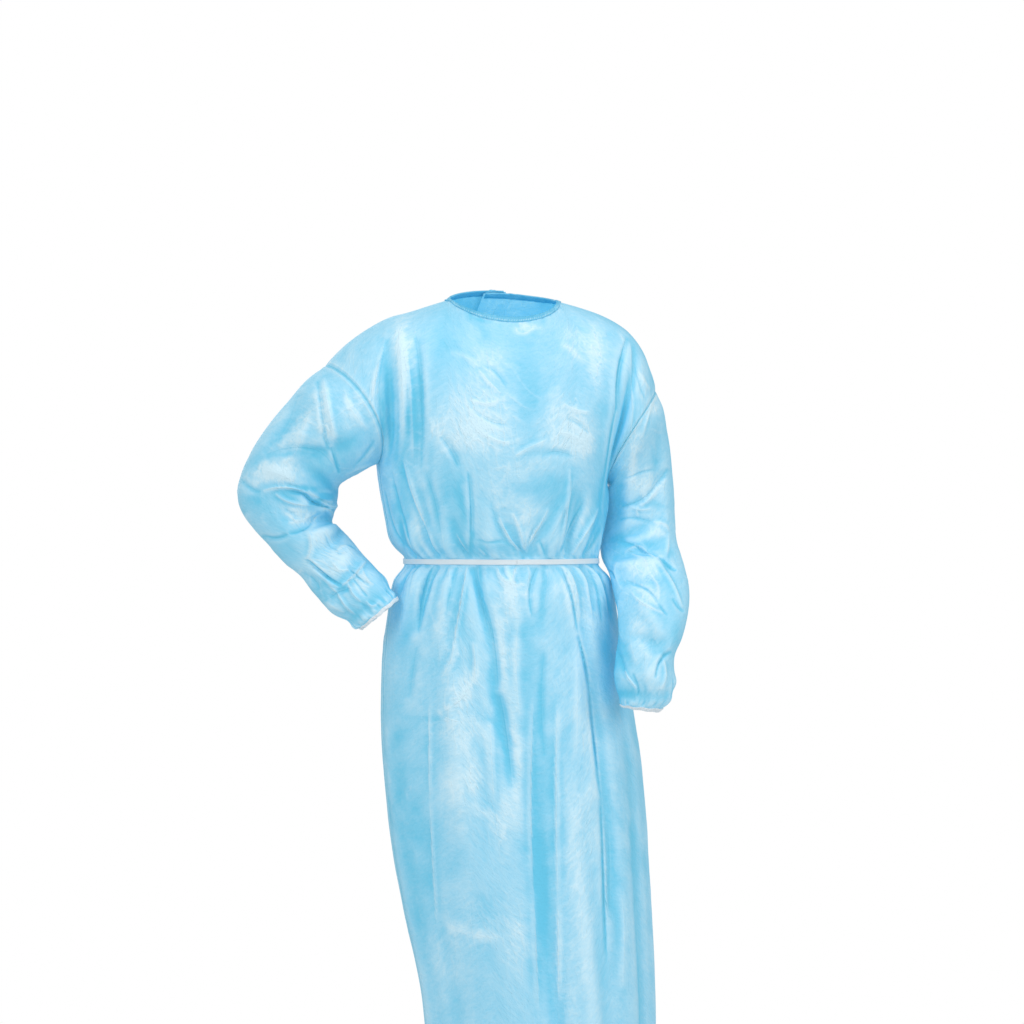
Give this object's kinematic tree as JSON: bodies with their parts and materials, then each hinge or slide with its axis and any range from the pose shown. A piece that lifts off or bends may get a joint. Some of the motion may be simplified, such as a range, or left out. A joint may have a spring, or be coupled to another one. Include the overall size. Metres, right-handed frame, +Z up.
{
  "type": "protective gown",
  "caption": "Long-sleeved protective gown of thin non-woven cloth, closed and tied at the back, with a bound round neck, elastic cuffs and a narrow belt, hollow and in its worn pose.",
  "frame": {"origin": "middle of the neck opening, level with the inner ends of the shoulder seams, where the worn gown is held", "axes": "+Z up; the chest faces -Y; +X points to the wearer's left"},
  "size_m": [0.5879, 0.2897, 1.1847],
  "materials": {
    "cloth": "soft sheen of a thin film-faced non-woven cloth, light blue",
    "binding": "matte non-woven binding tape, a stronger blue",
    "tape": "matte white tape and knitted elastic"
  },
  "bodies": {
    "root": {"front": "cloth", "back_left": "cloth", "back_right": "cloth", "sleeve_left": "cloth", "sleeve_right": "cloth", "neck_binding": "binding", "neck_knot": "binding", "neck_end_left": "binding", "neck_end_right": "binding", "belt": "tape", "belt_knot": "tape", "belt_end_left": "tape", "belt_end_right": "tape", "cuff_elastic_left": "tape", "cuff_elastic_right": "tape"}
  },
  "joints": []
}
